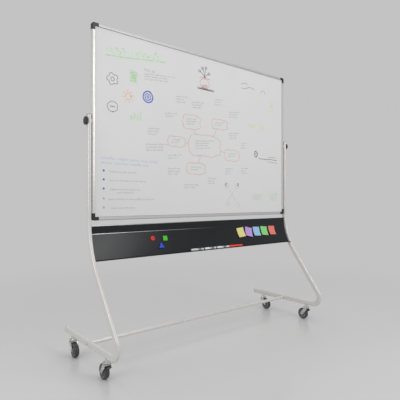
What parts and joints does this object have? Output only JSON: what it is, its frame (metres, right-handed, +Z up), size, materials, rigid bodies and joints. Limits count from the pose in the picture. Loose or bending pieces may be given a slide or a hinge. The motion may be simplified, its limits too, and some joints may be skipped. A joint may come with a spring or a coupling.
{
  "type": "rolling whiteboard",
  "caption": "Mobile double-sided whiteboard that flips about its mid height between bent tube legs, with a curved magnetic panel, a pen shelf and braked swivel casters.",
  "frame": {"origin": "on the floor under the middle of the bounding box", "axes": "+Z up, +X to the right as seen from the writing side, and the front writing side faces -Y; the board hangs in a plane 18.2 mm behind the origin"},
  "size_m": [1.8882, 0.735, 2.08],
  "materials": {
    "leg_paint": "satin light grey powder coat",
    "frame_aluminium": "fine satin silver anodising",
    "corner_plastic": "fine-grained dark grey moulding",
    "end_cap_plastic": "dark grey moulding",
    "zinc_steel": "bright zinc plating",
    "panel_paint": "semi-gloss slate grey paint",
    "shelf_aluminium": "dark anodised extrusion",
    "white_enamel": "glossy white dry-wipe enamel on steel",
    "honeycomb_board": "raw paper honeycomb",
    "nylon": "natural nylon",
    "knob_plastic": "black moulding with a fine grain",
    "insert_brass": "turned brass",
    "red_plastic": "glossy moulding",
    "green_plastic": "glossy moulding",
    "blue_plastic": "glossy moulding",
    "note_paper": "uncoated coloured paper",
    "marker_barrel_plastic": "glossy white moulding",
    "marker_cap_plastic": "satin moulding",
    "fork_steel": "bright zinc-plated pressing",
    "axle_steel": "zinc-plated bolt and nut",
    "wheel_plastic": "dark nylon moulding",
    "tyre_rubber": "smooth soft rubber",
    "pedal_steel": "black painted pressing"
  },
  "bodies": {
    "stand": {"left_leg": "leg_paint", "right_leg": "leg_paint", "leg_top_caps": "end_cap_plastic", "foot_end_caps": "end_cap_plastic", "crossbar": "leg_paint", "crossbar_plugs": "end_cap_plastic", "crossbar_bolts": "zinc_steel", "magnet_panel": "panel_paint", "panel_brackets": "panel_paint", "panel_screws": "zinc_steel", "pen_shelf": "shelf_aluminium", "pivot_bushes": "nylon", "pivot_washers": "zinc_steel", "caster_stems": "zinc_steel", "caster_sockets": "zinc_steel", "round_magnet": "red_plastic", "square_magnet": "green_plastic", "triangle_magnet": "blue_plastic", "sticky_notes": "note_paper", "marker_barrels": "marker_barrel_plastic", "marker_caps": "marker_cap_plastic"},
    "board": {"front_writing_sheet": "white_enamel", "board_core": "honeycomb_board", "back_writing_sheet": "white_enamel", "top_rail": "frame_aluminium", "bottom_rail": "frame_aluminium", "left_rail": "frame_aluminium", "right_rail": "frame_aluminium", "corner_caps": "corner_plastic", "pivot_blocks": "zinc_steel", "pivot_studs": "zinc_steel", "board_spacers": "nylon"},
    "left_knob_body": {"left_knob": "knob_plastic", "left_knob_insert": "insert_brass"},
    "right_knob_body": {"right_knob": "knob_plastic", "right_knob_insert": "insert_brass"},
    "front_left_swivel": {"front_left_fork": "fork_steel", "front_left_axle": "axle_steel"},
    "front_left_wheel": {"front_left_wheel_core": "wheel_plastic", "front_left_tyre": "tyre_rubber"},
    "front_left_pedal": {"front_left_brake_pedal": "pedal_steel"},
    "front_right_swivel": {"front_right_fork": "fork_steel", "front_right_axle": "axle_steel"},
    "front_right_wheel": {"front_right_wheel_core": "wheel_plastic", "front_right_tyre": "tyre_rubber"},
    "front_right_pedal": {"front_right_brake_pedal": "pedal_steel"},
    "rear_left_swivel": {"rear_left_fork": "fork_steel", "rear_left_axle": "axle_steel"},
    "rear_left_wheel": {"rear_left_wheel_core": "wheel_plastic", "rear_left_tyre": "tyre_rubber"},
    "rear_left_pedal": {"rear_left_brake_pedal": "pedal_steel"},
    "rear_right_swivel": {"rear_right_fork": "fork_steel", "rear_right_axle": "axle_steel"},
    "rear_right_wheel": {"rear_right_wheel_core": "wheel_plastic", "rear_right_tyre": "tyre_rubber"},
    "rear_right_pedal": {"rear_right_brake_pedal": "pedal_steel"}
  },
  "joints": [
    {"name": "board_flip", "type": "hinge", "parent": "stand", "child": "board", "pos_m": [0, 0.01816, 1.48], "axis": [1, 0, 0], "continuous": true},
    {"name": "left_knob_turn", "type": "hinge", "parent": "board", "child": "left_knob_body", "pos_m": [-0.933, 0.01816, 1.48], "axis": [-1, 0, 0], "range_deg": [0, 360]},
    {"name": "right_knob_turn", "type": "hinge", "parent": "board", "child": "right_knob_body", "pos_m": [0.933, 0.01816, 1.48], "axis": [1, 0, 0], "range_deg": [0, 360]},
    {"name": "front_left_swivel_turn", "type": "hinge", "parent": "stand", "child": "front_left_swivel", "pos_m": [-0.916, -0.21984, 0.095], "axis": [0, 0, 1], "continuous": true},
    {"name": "front_left_wheel_roll", "type": "hinge", "parent": "front_left_swivel", "child": "front_left_wheel", "pos_m": [-0.91422, -0.18588, 0.044], "axis": [0.9986, -0.0523, 0], "continuous": true},
    {"name": "front_left_brake_press", "type": "hinge", "parent": "front_left_swivel", "child": "front_left_pedal", "pos_m": [-0.91639, -0.22733, 0.078], "axis": [0.9986, -0.0523, 0], "range_deg": [0, 12]},
    {"name": "front_right_swivel_turn", "type": "hinge", "parent": "stand", "child": "front_right_swivel", "pos_m": [0.916, -0.21984, 0.095], "axis": [0, 0, 1], "continuous": true},
    {"name": "front_right_wheel_roll", "type": "hinge", "parent": "front_right_swivel", "child": "front_right_wheel", "pos_m": [0.91778, -0.18588, 0.044], "axis": [0.9986, -0.0523, 0], "continuous": true},
    {"name": "front_right_brake_press", "type": "hinge", "parent": "front_right_swivel", "child": "front_right_pedal", "pos_m": [0.91561, -0.22733, 0.078], "axis": [0.9986, -0.0523, 0], "range_deg": [0, 12]},
    {"name": "rear_left_swivel_turn", "type": "hinge", "parent": "stand", "child": "rear_left_swivel", "pos_m": [-0.916, 0.25616, 0.095], "axis": [0, 0, 1], "continuous": true},
    {"name": "rear_left_wheel_roll", "type": "hinge", "parent": "rear_left_swivel", "child": "rear_left_wheel", "pos_m": [-0.91778, 0.22221, 0.044], "axis": [-0.9986, 0.0523, 0], "continuous": true},
    {"name": "rear_left_brake_press", "type": "hinge", "parent": "rear_left_swivel", "child": "rear_left_pedal", "pos_m": [-0.91561, 0.26365, 0.078], "axis": [-0.9986, 0.0523, 0], "range_deg": [0, 12]},
    {"name": "rear_right_swivel_turn", "type": "hinge", "parent": "stand", "child": "rear_right_swivel", "pos_m": [0.916, 0.25616, 0.095], "axis": [0, 0, 1], "continuous": true},
    {"name": "rear_right_wheel_roll", "type": "hinge", "parent": "rear_right_swivel", "child": "rear_right_wheel", "pos_m": [0.91422, 0.22221, 0.044], "axis": [-0.9986, 0.0523, 0], "continuous": true},
    {"name": "rear_right_brake_press", "type": "hinge", "parent": "rear_right_swivel", "child": "rear_right_pedal", "pos_m": [0.91639, 0.26365, 0.078], "axis": [-0.9986, 0.0523, 0], "range_deg": [0, 12]}
  ]
}
